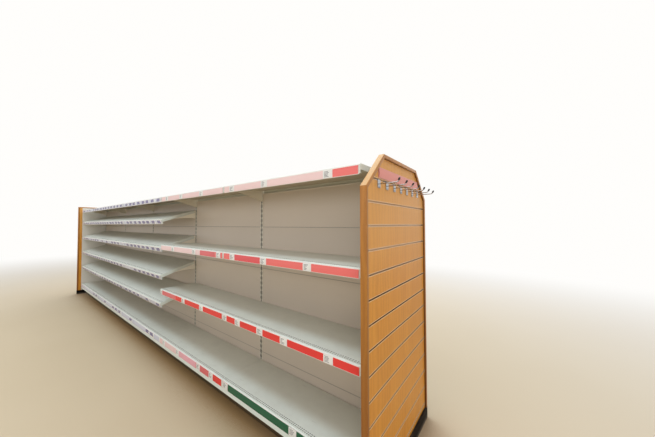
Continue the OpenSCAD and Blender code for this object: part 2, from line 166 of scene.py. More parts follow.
def build(name, points, faces, uvs, slot, material, sharp=35):
    """Puts arrays into a new mesh object at the origin. points is n x 3, faces is a list of
    index arrays with one row for each face, and uvs has one row for each face corner."""
    mesh = bpy.data.meshes.new(name)
    mesh.from_pydata(points.tolist(), [], [face for block in faces for face in block.tolist()])
    layer = mesh.uv_layers.new(name="Grain")
    layer.data.foreach_set("uv", uvs.astype(np.float32).ravel())
    mesh.validate()
    mesh.update()
    mesh.shade_smooth()
    mesh.set_sharp_from_angle(angle=math.radians(sharp))
    mesh.materials.append(material)
    piece = bpy.data.objects.new(name, mesh)
    bpy.context.scene.collection.objects.link(piece)
    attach(piece, "root")
    fix_outward(piece)
    print(name, "has", len(mesh.polygons), "faces")
    return piece


def distances(points):
    """Distance along a line of points, from 0 at its first one."""
    return np.concatenate([[0], np.cumsum(np.linalg.norm(np.diff(points, axis=0), axis=1))])


def tube(u, profile):
    """Faces of a tube through n stations of m points: quads between neighbouring stations, then
    one face over each end. Also the uvs of the quads, from the n x m values u and from v, the
    distance round the profile."""
    n, m = u.shape
    v = distances(np.vstack([profile, profile[:1]]))
    i, j = np.meshgrid(np.arange(n - 1), np.arange(m), indexing="ij")
    k = (j + 1) % m
    sides = np.stack([i * m + j, i * m + k, (i + 1) * m + k, (i + 1) * m + j], -1).reshape(-1, 4)
    ends = [np.arange(m)[::-1][None], (np.arange(m) + (n - 1) * m)[None]]
    uvs = np.stack([u[i, j], v[j], u[i, k], v[j + 1], u[i + 1, k], v[j + 1], u[i + 1, j], v[j]], -1)
    return [sides] + ends, uvs.reshape(-1, 2)


def sweep(profile, origins, across, upward):
    """Point (i, j) = origin i + profile j's first value times direction across i + its second
    value times direction upward i. One direction for all stations will do too. u runs along
    the path, in metres. Returns points, faces and uvs."""
    n = len(origins)
    across, upward = (np.broadcast_to(direction, (n, 3)) for direction in (across, upward))
    points = (origins[:, None] + profile[None, :, :1] * across[:, None]
              + profile[None, :, 1:] * upward[:, None]).reshape(-1, 3)
    u = np.tile(distances(origins)[:, None], (1, len(profile)))
    faces, uvs = tube(u, profile)
    return points, faces, np.vstack([uvs, profile[::-1], profile])


def join(parts):
    """Stacks several (points, faces, uvs) into one, with the face numbers moved along."""
    starts = np.cumsum([0] + [len(points) for points, _, _ in parts])
    faces = [block + start for (_, blocks, _), start in zip(parts, starts) for block in blocks]
    return np.vstack([points for points, _, _ in parts]), faces, np.vstack([uvs for _, _, uvs in parts])


def rounded_box(width, height, radius, steps=5):
    """Closed loop of a rectangle from (0, 0) to (width, height), its corners quarter circles."""
    turn = np.linspace(0, math.pi / 2, steps)
    corners = [(width - radius, radius, -math.pi / 2), (width - radius, height - radius, 0),
               (radius, height - radius, math.pi / 2), (radius, radius, math.pi)]
    return np.vstack([np.column_stack([x + radius * np.cos(turn + a), y + radius * np.sin(turn + a)])
                      for x, y, a in corners])


def circle(radius, steps):
    """Closed loop of a circle round the path."""
    turn = np.linspace(0, 2 * math.pi, steps, endpoint=False)
    return radius * np.column_stack([np.cos(turn), np.sin(turn)])


print("a rounded box has", len(rounded_box(1, 1, 0.1)), "points")

# %% [markdown]
# ## Building materials from nodes
#
# Materials are procedural, so they stay sharp at any distance and need no image files. A tree
# of nodes is long to write out, so each look here is a function, from the Object coordinates
# to the values of the shader's inputs. The arithmetic in it is written as for numbers, and a
# small class turns every sign into a Math node. A plain number or colour is set on a node's
# own socket, and anything else is linked to it.

# %% Node helpers
def srgb(r, g, b):
    """A colour as a picture shows it, from 0 to 255, turned into Blender's linear values."""
    c = np.array([r, g, b]) / 255
    linear = np.where(c <= 0.04045, c / 12.92, ((c + 0.055) / 1.055) ** 2.4)
    return (*linear.tolist(), 1.0)


class Value:
    """What a node puts out. Arithmetic with it, such as a * b or abs(a), adds Math nodes to its
    tree. a < b and a > b are masks, 1 where they hold and 0 elsewhere."""

    def __init__(self, socket):
        self.socket = socket
        self.tree = socket.id_data

    def calc(self, operation, *others):
        return add(self.tree, "Math", dict(enumerate((self, *others))), operation=operation)

    def __rsub__(self, number):
        return self * -1.0 + number


SIGNS = {"add": "ADD", "sub": "SUBTRACT", "mul": "MULTIPLY", "truediv": "DIVIDE",
         "abs": "ABSOLUTE", "lt": "LESS_THAN", "gt": "GREATER_THAN"}
for sign, operation in SIGNS.items():
    setattr(Value, f"__{sign}__", partialmethod(Value.calc, operation))


def put(node, inputs):
    """Links each value to the input of its name, and sets an input to a constant."""
    for name, value in inputs.items():
        if isinstance(value, Value):
            value.tree.links.new(value.socket, node.inputs[name])
        else:
            node.inputs[name].default_value = value


def add(tree, kind, inputs=None, out=0, **settings):
    """Adds a shader node with its settings and inputs, and returns one of its outputs."""
    node = tree.nodes.new("ShaderNode" + kind)
    for name, value in settings.items():
        setattr(node, name, value)
    put(node, inputs or {})
    return Value(node.outputs[out])


def step_up(value, low, high):
    """0 where value is under low, 1 over high, and a smooth step between them. With low above
    high, the step goes down."""
    return add(value.tree, "MapRange", {"Value": value, "From Min": low, "From Max": high},
               interpolation_type="SMOOTHSTEP")


def blend(mask, first, second):
    """The first colour where the mask is 0, the second where it is 1."""
    return add(mask.tree, "Mix", {0: mask, 6: first, 7: second}, out=2, data_type="RGBA")


def stretched(vector, scale):
    """The coordinates multiplied along X, Y and Z."""
    return add(vector.tree, "VectorMath", {0: vector, 1: scale}, operation="MULTIPLY")


def axis(vector, letter):
    """One coordinate of a vector."""
    return add(vector.tree, "SeparateXYZ", {0: vector}, out=letter)


def facing_up(place):
    """1 on faces that look up, 0 on upright ones and -1 on those that look down, in the tree
    that place belongs to."""
    return axis(add(place.tree, "NewGeometry", out="True Normal"), "Z")


def noise(place, scale, detail=3.0, roughness=0.5):
    """Cloudy noise from about 0 to 1, with its middle at 0.5. A scale of three numbers, one
    for each axis, stretches it."""
    if isinstance(scale, tuple):
        place, scale = stretched(place, scale), 1.0
    return add(place.tree, "TexNoise", {"Vector": place, "Scale": scale, "Detail": detail,
                                        "Roughness": roughness})


def bumped(height, strength, distance, **normal):
    """The surface's normal, turned by a height that is a distance deep."""
    return add(height.tree, "Bump", {"Height": height, "Strength": strength, "Distance": distance,
                                     **normal})


def new_group(name, inputs, formula):
    """A node group. formula is a function from the values of its inputs to its named results."""
    group = bpy.data.node_groups.new(name, "ShaderNodeTree")
    for title, kind in inputs.items():
        group.interface.new_socket(title, in_out="INPUT", socket_type="NodeSocket" + kind)
    given = group.nodes.new("NodeGroupInput").outputs
    results = formula(*[Value(given[title]) for title in inputs])
    for title, value in results.items():
        group.interface.new_socket(title, in_out="OUTPUT", socket_type=value.socket.bl_idname)
    put(group.nodes.new("NodeGroupOutput"), results)
    print("group:", name, "gives", list(results))
    return group


def use(place, group, **inputs):
    """Places a node group in the tree of place, which is its Place input if it has one, and
    returns its results."""
    node = place.tree.nodes.new("ShaderNodeGroup")
    node.node_tree = group
    put(node, {"Place": place, **inputs} if "Place" in node.inputs else inputs)
    return {socket.name: Value(socket) for socket in node.outputs}


def new_material(name, look, **amounts):
    """A material. look is a function from the Object coordinates and the amounts to the values
    of the shader's inputs."""
    made = bpy.data.materials.new(name)
    made.use_nodes = True
    place = add(made.node_tree, "TexCoord", out="Object")
    put(made.node_tree.nodes["Principled BSDF"], look(place, **amounts))
    print("material:", name)
    return made


print("white as linear values:", srgb(255, 255, 255))

# %% [markdown]
# ## Effects that several finishes share
#
# **Eased edges.** Folded sheet and sawn wood never end in a perfect knife edge, and the thin
# line of light along an edge is what makes it look real. A Bevel modifier would round every
# mesh, but the CAD meshes stay as they are. The Bevel node rounds only the normal close to an
# edge. How far that normal turns also gives a mask of the edges, where paint wears first.

# %% Eased edges
def ease(radius):
    """Edge = how far the rounded normal leans away from the true one, from 0 to 1."""
    eased = add(radius.tree, "Bevel", {"Radius": radius}, samples=4)
    true = add(radius.tree, "NewGeometry", out="True Normal")
    same = add(radius.tree, "VectorMath", {0: eased, 1: true}, out="Value", operation="DOT_PRODUCT")
    return {"Normal": eased, "Edge": step_up(same, 0.995, 0.80)}


eased_edges = new_group("eased edges", {"Radius": "Float"}, ease)

# %% [markdown]
# **Shop wear.** Shelving in daily use gets grey rub marks where things slide, a film of dust
# on whatever faces up, and small shifts of tone from one area to the next. All three are
# changes to one colour, so one group serves paint, wood, laminate and plastic, each with its
# own amounts.

# %% Shop wear
def wear_down(place, base, grime, drift, rub, dust):
    """Colour = base times a slow drift of tone, then blended to grime where thin stretched
    noise crosses a threshold, and where the surface faces up and dusty noise is high."""
    level = (noise(place, 2.3, 2.0) - 0.5) * drift * 4.0 + 1.0
    toned = add(place.tree, "VectorMath", {0: base, "Scale": level}, operation="SCALE")
    streaks = step_up(noise(place, (9, 46, 46), 5.0, 0.62), 0.60, 0.78)
    patches = step_up(noise(place, 5.0), 0.42, 0.70)
    film = step_up(noise(place, 14.0, 4.0, 0.6), 0.35, 0.75)
    upward = step_up(facing_up(place), 0.5, 0.95)
    marks = (streaks * patches * rub + upward * film * dust).calc("MINIMUM", 1.0)
    return {"Color": blend(marks, toned, grime), "Marks": marks}


shop_wear = new_group("shop wear", {"Place": "Vector", "Base": "Color", "Grime": "Color",
                                    "Drift": "Float", "Rub": "Float", "Dust": "Float"}, wear_down)

# %% [markdown]
# **Wood grain.** The panels are beech. Beech has a calm, pinkish tan ground with faint bands
# where growth rings meet the surface, and it is known by its flecks: short dark dashes,
# a few millimetres long, that all run with the grain. The group takes coordinates whose X
# runs along the grain, so the same wood can be turned in any direction.

# %% Wood grain
def grow(place, light, dark, depth):
    """Bands = a sine of the distance across the grain, bent by slow noise. Flecks = noise
    stretched along the grain, over a threshold. Pores = the same, much finer. The darkness is
    the sum of their shares and of a cloudy one."""
    across = (axis(place, "Y") + axis(place, "Z")) * 230.0
    bands = step_up((across + noise(place, (1.6, 7.0, 7.0)) * 34.0).calc("SINE"), -1.0, 1.0)
    cloud = noise(place, (2.2, 16.0, 16.0), 4.0)
    flecks = step_up(noise(place, (95.0, 620.0, 620.0), 2.0, 0.4), 0.60, 0.72)
    pores = noise(place, (60.0, 1900.0, 1900.0), 2.0)
    tone = (cloud * 0.44 + bands * 0.16 + pores * 0.14 + flecks * 0.24) * depth
    return {"Color": blend(tone, light, dark), "Height": flecks * -0.6 + pores * 0.4}


beech_grain = new_group("beech grain", {"Place": "Vector", "Light": "Color", "Dark": "Color",
                                        "Depth": "Float"}, grow)

# %% [markdown]
# ## Marks on the steel
#
# Some of what shows on the steel is too small or too flat to model. The decks have two rows of
# slots along the front, only 3 mm wide, into which dividers clip, painted dark as painted shade
# in the holes. Further in the decks are greyer. The square posts get painted shade inside, and a
# line of painted shade beside their slots. Each back panel hooks into the next with a thin joint.
# Cutting all this would add thousands of faces, so each is a mask that is worked out from where a point
# lies on the object.

# %% Masks for the steel
SLOT_ROWS = (12 * MM, 21 * MM)  # from the front of the deck
SLOT_STEP = 12.5 * MM  # from one slot of a row to the next
SLOT_LENGTH = 8 * MM
SLOT_WIDTH = 3 * MM
SLOT_SOFT = 0.3 * MM  # softness of a slot's ends
GREYER_FROM = (60 * MM, 150 * MM)  # from the front of the strip, between which it begins
TOP_SHELF = (1.20, 1.35)  # heights between which it begins
WALL_SKIN = 0.5 * MM  # how deep under a post's face its inside begins
POST_SLOT_SHADE = (6.0 * MM, 3.6 * MM)  # from the middle of a post
PANEL_Z0 = 226 * MM  # height of a joint
PANEL_H = 300 * MM
JOINT = (3.0 * MM, 1.0 * MM)  # where its shade begins and is full


def divider_slots(place):
    """1 inside the slots of a deck: near a row's distance from the front edge, within the
    slot's length in each step along X, and only on faces that look up."""
    inward = strip_front - STRIP_T - abs(axis(place, "Y"))
    first, second = (step_up(abs(inward - row), SLOT_WIDTH * 0.6, SLOT_WIDTH * 0.4) for row in SLOT_ROWS)
    along = axis(place, "X").calc("PINGPONG", SLOT_STEP / 2)
    dash = step_up(along, SLOT_LENGTH / 2 + SLOT_SOFT, SLOT_LENGTH / 2 - SLOT_SOFT)
    return first.calc("MAXIMUM", second) * dash * (facing_up(place) > 0.9)


def where_loaded(place):
    """0 along the front edge of a deck and 0.5 further in, where the deck is greyer.
    The top shelves are a little greyer all over."""
    inward = strip_front - abs(axis(place, "Y"))
    greyed_by_height = step_up(axis(place, "Z"), *TOP_SHELF) * 0.25
    return (step_up(inward, *GREYER_FROM) * 0.5).calc("MAXIMUM", greyed_by_height)


def inside_posts(place):
    """1 on the walls inside the square posts and in their slots: nearer to a post's middle
    than its faces are, both along X and along Y. These, and a narrow line along the slots, get painted
    shade."""
    x, y = axis(place, "X"), axis(place, "Y")
    off = abs(x - post_x[0])
    for post in post_x[1:]:
        off = off.calc("MINIMUM", abs(x - post))
    inside = (off < post_half_w - WALL_SKIN) * (abs(y) < post_half_d - WALL_SKIN)
    return inside.calc("MAXIMUM", step_up(off, *POST_SLOT_SHADE) * 0.72)


def panel_joints(place):
    """A thin shaded line at each joint between two back panels, which repeat along Z."""
    height = axis(place, "Z") - PANEL_Z0
    return step_up(height.calc("PINGPONG", PANEL_H / 2), *JOINT) * 0.45


print("divider slots every", round(SLOT_STEP / MM, 1), "mm, panel joints every", round(PANEL_H / MM), "mm")

# %% [markdown]
# ## Powder-coated steel
#
# The shelves, uprights, brackets and feet are steel with a baked cream powder coat. Close up,
# such paint has a very fine "orange peel", a soft sheen and no brush marks. Where hands and
# loads pass, it is rubbed grey, and along the edges it is chipped down to the steel. All the
# steel has one kind of paint, so one function makes each material from its own colour, its
# amount of wear and the masks above.

# %% Painted steel
# The shelves' cream is lighter, cooler and greener than the uprights' cream: partly painted cool light
# from the lamps overhead.
DECK_CREAM_COOL_LIT = srgb(236, 245, 240)
BRACKET_CREAM = srgb(234, 225, 206)
POST_CREAM = srgb(216, 208, 192)
BEIGE = srgb(207, 193, 177)
# The kick plates are partly painted shade: dark brown, as the recess under the base shelf is dark.
KICK_BROWN_AND_SHADE = srgb(76, 62, 42)
GRIME = srgb(104, 97, 88)
BARE_STEEL = srgb(150, 146, 140)
UNDERSIDE_SHADE = srgb(164, 136, 92)
DECK_GREY = srgb(168, 152, 122)
HOLE_SHADE = srgb(58, 52, 45)


def painted_steel(place, colour, rub, dust, drift=0.03, edge_wear=0.35, holes=None, hole_depth=0.0,
                  loaded=None):
    """Baked paint: tone and wear from the shared groups, a fine orange peel and worn edges.
    holes gives a mask of what is painted dark, such as painted shade in slots, and the last
    argument one of where the paint is greyer. Faces that look down are painted darker, as painted shade."""
    if loaded:
        colour = blend(loaded(place), colour, DECK_GREY)
    # Painted shade: faces that look down are blended towards a darker brown.
    underside_shade = step_up(facing_up(place), -0.4, -0.9) * 0.6
    wear = use(place, shop_wear, Base=blend(underside_shade, colour, UNDERSIDE_SHADE), Grime=GRIME, Drift=drift, Rub=rub,
               Dust=dust)
    edges = use(place, eased_edges, Radius=1.2 * MM)
    chips = step_up(noise(place, 60.0, 4.0, 0.65), 0.50, 0.72)
    paint = blend(edges["Edge"] * chips * edge_wear, wear["Color"], BARE_STEEL)
    height = noise(place, 700.0, 2.0)
    if holes:
        dark = holes(place)
        # Painted shade: the slots and the insides of the posts are painted dark; the back panels' joint
        # lines get the same dark colour.
        paint = blend(dark, paint, HOLE_SHADE)
        height = height - dark * hole_depth
    return {"Base Color": paint, "Roughness": wear["Marks"] * 0.25 + 0.40,
            "Normal": bumped(height, 0.12, 0.05 * MM, Normal=edges["Normal"])}


shelf_paint = new_material("shelf paint", painted_steel, colour=DECK_CREAM_COOL_LIT, rub=0.30, dust=0.06,
                           holes=divider_slots, hole_depth=30.0, loaded=where_loaded)
post_paint = new_material("upright paint", painted_steel, colour=POST_CREAM, rub=0.22, dust=0.06,
                          holes=inside_posts)
steel_paint = new_material("bracket and foot paint", painted_steel, colour=BRACKET_CREAM, rub=0.25,
                           dust=0.06)
back_paint = new_material("back panel paint", painted_steel, colour=BEIGE, rub=0.14, dust=0.04,
                          drift=0.02, edge_wear=0.1, holes=panel_joints)
kick_paint = new_material("kick plate paint", painted_steel, colour=KICK_BROWN_AND_SHADE, rub=0.6, dust=0.2,
                          drift=0.05)

# %% [markdown]
# ## Beech
#
# The grooved board is faced with beech foil whose grain runs up the board, across the
# grooves, so its grain reads the Object coordinates, turned. Its back is plain white where
# the shelves hide it. The frame is made of solid lipping, whose grain runs along each length,
# so its coordinates come from the UV map that the sweep wrote.

# %% Beech finishes
BEECH_LIGHT = srgb(238, 168, 64)
BEECH_DARK = srgb(182, 100, 14)
LIPPING_LIGHT = srgb(205, 140, 58)
LIPPING_DARK = srgb(128, 70, 14)
# A pale wood colour for painted highlight and painted sheen.
PALE_SHEEN_WOOD = srgb(240, 204, 146)
WOOD_GRIME = srgb(92, 60, 30)
FOIL_GRIME = srgb(112, 76, 42)
INNER_FACE_SHADE = srgb(70, 42, 18)
FIBRE_LIGHT = srgb(150, 112, 72)
FIBRE_DARK = srgb(120, 86, 52)
BOARD_BACK = srgb(233, 231, 224)
INNER_FACE = (30 * MM, 24 * MM)  # how far round the profile the inner face of a length ends
FOIL_SKIN = 0.4 * MM
BOARD_DEPTH = 17.9 * MM  # just short of the board's 18 mm
SHEEN_HEIGHTS = (0.8, 1.2)  # heights between which the painted sheen comes in
LIPPING_DARKENS = (1.1, 0.2)  # heights between which the lipping darkens, downwards


def beech_lipping(place):
    """Solid beech with satin lacquer. Grain follows the UV map, and each length of moulding
    starts its u at another value, so no two lengths look alike. Where v says that the face
    is the inner one, it is painted dark, as painted shade in the corner. Faces that look up
    are paler, a painted highlight, and low down the wood is darker towards the bottom."""
    along = add(place.tree, "UVMap", uv_map="Grain")
    grain = use(along, beech_grain, Light=LIPPING_LIGHT, Dark=LIPPING_DARK, Depth=1.0)
    # Painted highlight: faces that look up are blended towards a pale colour.
    top = step_up(facing_up(place), 0.3, 0.8) * 0.6
    low = step_up(axis(place, "Z"), *LIPPING_DARKENS) * 0.7
    wood = blend(low, blend(top, grain["Color"], PALE_SHEEN_WOOD), LIPPING_DARK)
    wear = use(place, shop_wear, Base=wood, Grime=WOOD_GRIME, Drift=0.02, Rub=0.25, Dust=0.06)
    # Painted shade on the inner face of each length, next to the board.
    corner = step_up(axis(along, "Y"), *INNER_FACE) * 0.75
    return {"Base Color": blend(corner, wear["Color"], INNER_FACE_SHADE),
            "Roughness": wear["Marks"] * 0.3 + 0.36,
            "Normal": bumped(grain["Height"], 0.25, 0.08 * MM),
            "Coat Weight": 0.15, "Coat Roughness": 0.3, "Specular IOR Level": 0.3}


def beech_board(place, face_x, outward):
    """Foil-faced board. Depth = distance behind the face. Under the foil's skin, inside the
    grooves, the brown fibre core shows. High up the foil is paler, a painted sheen. The back is
    white where the shelves cover it, and beech like the face where it stands out past them."""
    turned = add(place.tree, "Mapping", {"Vector": place, "Rotation": (0, math.pi / 2, 0)})
    grain = use(turned, beech_grain, Light=BEECH_LIGHT, Dark=BEECH_DARK, Depth=0.85)
    # Painted sheen: high up the foil is blended towards a pale colour.
    painted_sheen = step_up(axis(place, "Z"), *SHEEN_HEIGHTS) * 0.22
    foil = use(place, shop_wear, Base=blend(painted_sheen, grain["Color"], PALE_SHEEN_WOOD), Grime=FOIL_GRIME,
               Drift=0.025, Rub=0.22, Dust=0.0)
    white = use(place, shop_wear, Base=BOARD_BACK, Grime=GRIME, Drift=0.02, Rub=0.2, Dust=0.0)
    fibre = blend(noise(place, 900.0), FIBRE_LIGHT, FIBRE_DARK)
    depth = (face_x - axis(place, "X")) * outward
    behind = depth > BOARD_DEPTH
    core = (depth > FOIL_SKIN) - behind
    hidden = behind * (abs(axis(place, "Y")) < strip_front)
    edges = use(place, eased_edges, Radius=0.8 * MM)
    return {"Base Color": blend(hidden, blend(core, foil["Color"], fibre), white["Color"]),
            "Roughness": core * 0.25 + 0.42,
            "Normal": bumped(grain["Height"], 0.15, 0.06 * MM, Normal=edges["Normal"]),
            "Specular IOR Level": 0.3}


near_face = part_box("near_end_board")[1].x
far_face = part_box("far_end_board")[0].x
lipping = new_material("beech lipping", beech_lipping)
near_beech = new_material("near beech board", beech_board, face_x=near_face, outward=1.0)
far_beech = new_material("far beech board", beech_board, face_x=far_face, outward=-1.0)
print("beech faces at x =", round(near_face, 4), "and", round(far_face, 4))

# %% [markdown]
# ## Metal and plastic
#
# The grooves are lined with tan plastic, which keeps faint lines along the direction in which
# it was drawn. Deep inside, the low grooves are painted shade, dark brown, and the upper ones a
# pale painted light. The hooks are chromed wire. The kick boards are black laminate, scuffed by
# shoes and mops. The ticket strips, the rail, the levelling feet and the hooks' tips are
# moulded plastic, one function with four colours.

# %% Metals and plastics
LINER_LIGHT = srgb(244, 206, 156)
LINER_DARK = srgb(232, 190, 138)
GROOVE_SHADE = srgb(140, 94, 52)
GROOVE_LIGHT = srgb(252, 224, 192)
GROOVE_LIGHT_FROM = (0.80, 1.05)  # heights between which deep in a groove painted shade turns to painted light
GROOVE_MOUTH = (0.2 * MM, 1.6 * MM)  # depths between which the painted light and shade begin
CHROME = srgb(188, 188, 190)
CHROME_HAZE = srgb(158, 158, 161)
LAMINATE = srgb(14, 11, 8)
SCUFFS = srgb(96, 89, 80)
FLOOR_DUST = srgb(128, 118, 104)
FLOOR_DUST_Z = (26 * MM, 8 * MM)  # heights where dust begins and is full


def groove_plastic(place):
    """Tan plastic with faint lines along Y, the direction in which the liner was drawn. Between
    the two board faces, which is down in the groove, the low grooves are painted shade, dark
    brown, and the upper ones a pale painted light."""
    x = axis(place, "X")
    lines = noise(place, (1500.0, 3.0, 1500.0))
    depth = (near_face - x).calc("MINIMUM", x - far_face)
    # Painted shade deep in the low grooves, painted light deep in the upper ones.
    deep_light_and_shade = blend(step_up(axis(place, "Z"), *GROOVE_LIGHT_FROM), GROOVE_SHADE, GROOVE_LIGHT)
    rim = blend(lines, LINER_LIGHT, LINER_DARK)
    return {"Base Color": blend(step_up(depth, *GROOVE_MOUTH), rim, deep_light_and_shade),
            "Roughness": lines * 0.15 + 0.30,
            "Normal": use(place, eased_edges, Radius=0.4 * MM)["Normal"]}


def bright_wire(place):
    """Chrome-plated wire, with the slight haze that handling leaves."""
    haze = noise(place, 90.0)
    return {"Base Color": blend(haze, CHROME, CHROME_HAZE), "Roughness": haze * 0.20 + 0.06,
            "Metallic": 1.0}


def black_laminate(place):
    """Black laminate with a fine pebble, grey scuffs and dust that thickens near the floor."""
    wear = use(place, shop_wear, Base=LAMINATE, Grime=SCUFFS, Drift=0.05, Rub=0.1, Dust=0.3)
    greyed_by_height = step_up(axis(place, "Z"), *FLOOR_DUST_Z) * (noise(place, 40.0, 4.0) * 0.5 + 0.2)
    edges = use(place, eased_edges, Radius=1.0 * MM)
    pebble = noise(place, 1200.0, 2.0)
    return {"Base Color": blend(greyed_by_height, wear["Color"], FLOOR_DUST), "Roughness": greyed_by_height * 0.3 + 0.6,
            "Normal": bumped(pebble, 0.2, 0.1 * MM, Normal=edges["Normal"]),
            "Specular IOR Level": 0.1}


def moulded_plastic(place, colour, gloss, rub):
    """Moulded plastic with a very slight texture."""
    wear = use(place, shop_wear, Base=colour, Grime=GRIME, Drift=0.02, Rub=rub, Dust=0.15)
    edges = use(place, eased_edges, Radius=0.6 * MM)
    texture = noise(place, 1500.0, 2.0)
    return {"Base Color": wear["Color"], "Roughness": wear["Marks"] * 0.3 + gloss,
            "Normal": bumped(texture, 0.08, 0.05 * MM, Normal=edges["Normal"])}


liner_plastic = new_material("groove plastic", groove_plastic)
hook_metal = new_material("bright wire", bright_wire)
kick_black = new_material("black laminate", black_laminate)
strip_plastic, rail_plastic, foot_plastic, tip_plastic = (
    new_material(name, moulded_plastic, colour=colour, gloss=gloss, rub=rub)
    for name, colour, gloss, rub in (("strip plastic", srgb(246, 243, 239), 0.28, 0.2),
                                     ("rail plastic", srgb(226, 158, 144), 0.28, 0.2),
                                     ("foot plastic", srgb(38, 37, 36), 0.45, 0.5),
                                     ("hook tip plastic", srgb(22, 22, 22), 0.35, 0.1)))

# %% [markdown]
# ## Paper
#
# The strips hold plain coloured card, some of it faded to pink, and white tickets. On the upper
# shelves the red card is painted lighter, as painted light. On the real strip a clear film lies
# over the card. A film of its own would be one more thin sheet to sort for each ray, so a clear
# coat on the card's shader stands for it. The tickets carry no words, only bars. They are grey on level
# shelves and violet on sloping ones.

# %% Papers
PAPER_COLOURS = {
    "red": ((240, 60, 54), (224, 50, 46)),
    # The next, lighter red is the same red card, painted lighter for the upper shelves as painted light.
    "lit_red": ((247, 122, 118), (237, 110, 106)),
    "rose": ((230, 112, 116), (216, 98, 102)),
    "cerise": ((236, 94, 98), (224, 82, 88)),
    "blush": ((248, 186, 198), (238, 170, 184)),
    "pink": ((250, 222, 221), (240, 202, 203)),
    "green": ((22, 96, 66), (18, 84, 58)),
    "lilac": ((226, 229, 243), (206, 211, 230)),
    "rail": ((238, 154, 142), (226, 138, 128)),
}
CARD_LIGHT = srgb(244, 243, 240)
CARD_DARK = srgb(232, 231, 229)
GREY_INK = srgb(120, 120, 126)
VIOLET_INK = srgb(104, 98, 150)
LINE_STEP = 5.5 * MM  # from one row of bars to the next
BARS_MIDDLE = 18.5 * MM  # down the card's face
BARS_HALF = 14 * MM
BARS_START = 6 * MM  # from the card's end


def strip_paper(place, colour, shade):
    """Coloured card under a clear film: a slow change of tone, a fine fibre and a coat."""
    fibre = noise(place, 1400.0, 2.0)
    tone = fibre * 0.25 + noise(place, 6.0) * 0.5
    return {"Base Color": blend(tone, colour, shade), "Roughness": fibre * 0.1 + 0.5,
            "Coat Weight": 0.4, "Coat Roughness": 0.12, "Specular IOR Level": 0.3}


def ticket_card(place, ink, shortest, longest, height):
    """White card with a few bars of differing lengths. Row and bar are read from the UV map,
    in metres: v runs down the card's face, and u along it, on top of the card's own whole
    number. A bar is a share, height, of its row."""
    uv = add(place.tree, "UVMap", uv_map="Grain")
    u, v = axis(uv, "X"), axis(uv, "Y")
    rows = v / LINE_STEP
    seed = add(place.tree, "CombineXYZ", {"X": rows.calc("FLOOR"), "Y": u.calc("FLOOR")})
    chance = add(place.tree, "TexWhiteNoise", {0: seed}, out="Value")
    along = u.calc("FRACT")
    length = (along > BARS_START) * (along < chance * (longest - shortest) + shortest)
    in_row = rows.calc("FRACT").calc("COMPARE", 0.5, height / 2)
    bars = length * in_row * v.calc("COMPARE", BARS_MIDDLE, BARS_HALF)
    white = blend(noise(place, 30.0, 2.0), CARD_LIGHT, CARD_DARK)
    return {"Base Color": blend(bars, white, ink), "Roughness": bars * 0.1 + 0.35}


papers = {
    name: new_material(f"{name} paper", strip_paper, colour=srgb(*colour), shade=srgb(*shade))
    for name, (colour, shade) in PAPER_COLOURS.items()
}
papers["ticket"] = new_material("ticket card", ticket_card, ink=GREY_INK, shortest=18 * MM,
                                longest=38 * MM, height=0.45)
papers["slope_ticket"] = new_material("sloping shelf ticket card", ticket_card, ink=VIOLET_INK,
                                      shortest=70 * MM, longest=90 * MM, height=0.9)

# %% [markdown]
# ## Finishes for the CAD parts
#
# A CAD part whose shape is right keeps it and only gets its finish, through its material
# slot. Its mesh isn't touched.

# %% Dress the CAD nodes
FINISHES = [
    (shelf_paint, ("shelves_", "base_decks_")),
    (post_paint, "upright_"),
    (steel_paint, ("brackets_", "tie_rails", "end_fixings", "base_feet_")),
    (back_paint, "back_panels_"),
    (kick_paint, "kick_plates_"),
    (foot_plastic, "levelling_feet"),
    (strip_plastic, "ticket_strips_"),
    (rail_plastic, "near_end_ticket_rail"),
    (near_beech, "near_end_board"),
    (far_beech, "far_end_board"),
    (liner_plastic, ("near_end_liners", "far_end_liners")),
    (kick_black, ("near_end_kick_board", "far_end_kick_board")),
    (lipping, ("near_end_frame", "far_end_frame")),
    (hook_metal, "near_end_hooks"),
]

dressed = 0
for finish, starts in FINISHES:
    for name, node in nodes.items():
        if name.startswith(starts):
            node.data.materials.clear()
            node.data.materials.append(finish)
            dressed += 1
print("dressed", dressed, "of", len(nodes), "nodes")

# %% [markdown]
# ## The wooden frames
#
# Each end panel is edged with beech lipping that stands 10 mm proud of the board. The near
# frame has five lengths, because its upper corners are cut off, and the far one has three.
# They meet in mitres. In the CAD model the lipping is square-edged. The real one has softly
# rounded edges that catch the light, so here each length gets a rounded profile, and its ends
# are cut along the mitre. One length after another keeps the grain running the right way,
# which a single ring could not.

# %% Frame mouldings
FRAME_W = 17 * MM
CORNER_W = 163 * MM  # cut off an upper corner, across
CORNER_H = 153 * MM  # the same, down
LIPPING_R = 3 * MM
GRAIN_SHIFT = 1.37  # metres of grain between one length and the next
KICK_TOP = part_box("near_end_kick_board")[1].z


def outline(margin, cut):
    """Corners of a panel in Y and Z, pulled in by a margin, from the bottom of the front side
    over the top to the bottom of the rear side. The cut corner is the line through its two
    ends, moved in by the margin along its normal."""
    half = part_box("near_end_frame")[1].y
    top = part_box("near_end_frame")[1].z
    w, h = half - margin, top - margin
    if not cut:
        return np.array([[-w, KICK_TOP], [-w, h], [w, h], [w, KICK_TOP]])
    reach = CORNER_H * half + CORNER_W * (top - CORNER_H) - margin * math.hypot(CORNER_W, CORNER_H)
    z1 = (reach - CORNER_H * w) / CORNER_W
    y1 = (reach - CORNER_W * h) / CORNER_H
    return np.array([[-w, KICK_TOP], [-w, z1], [-y1, h], [y1, h], [w, z1], [w, KICK_TOP]])


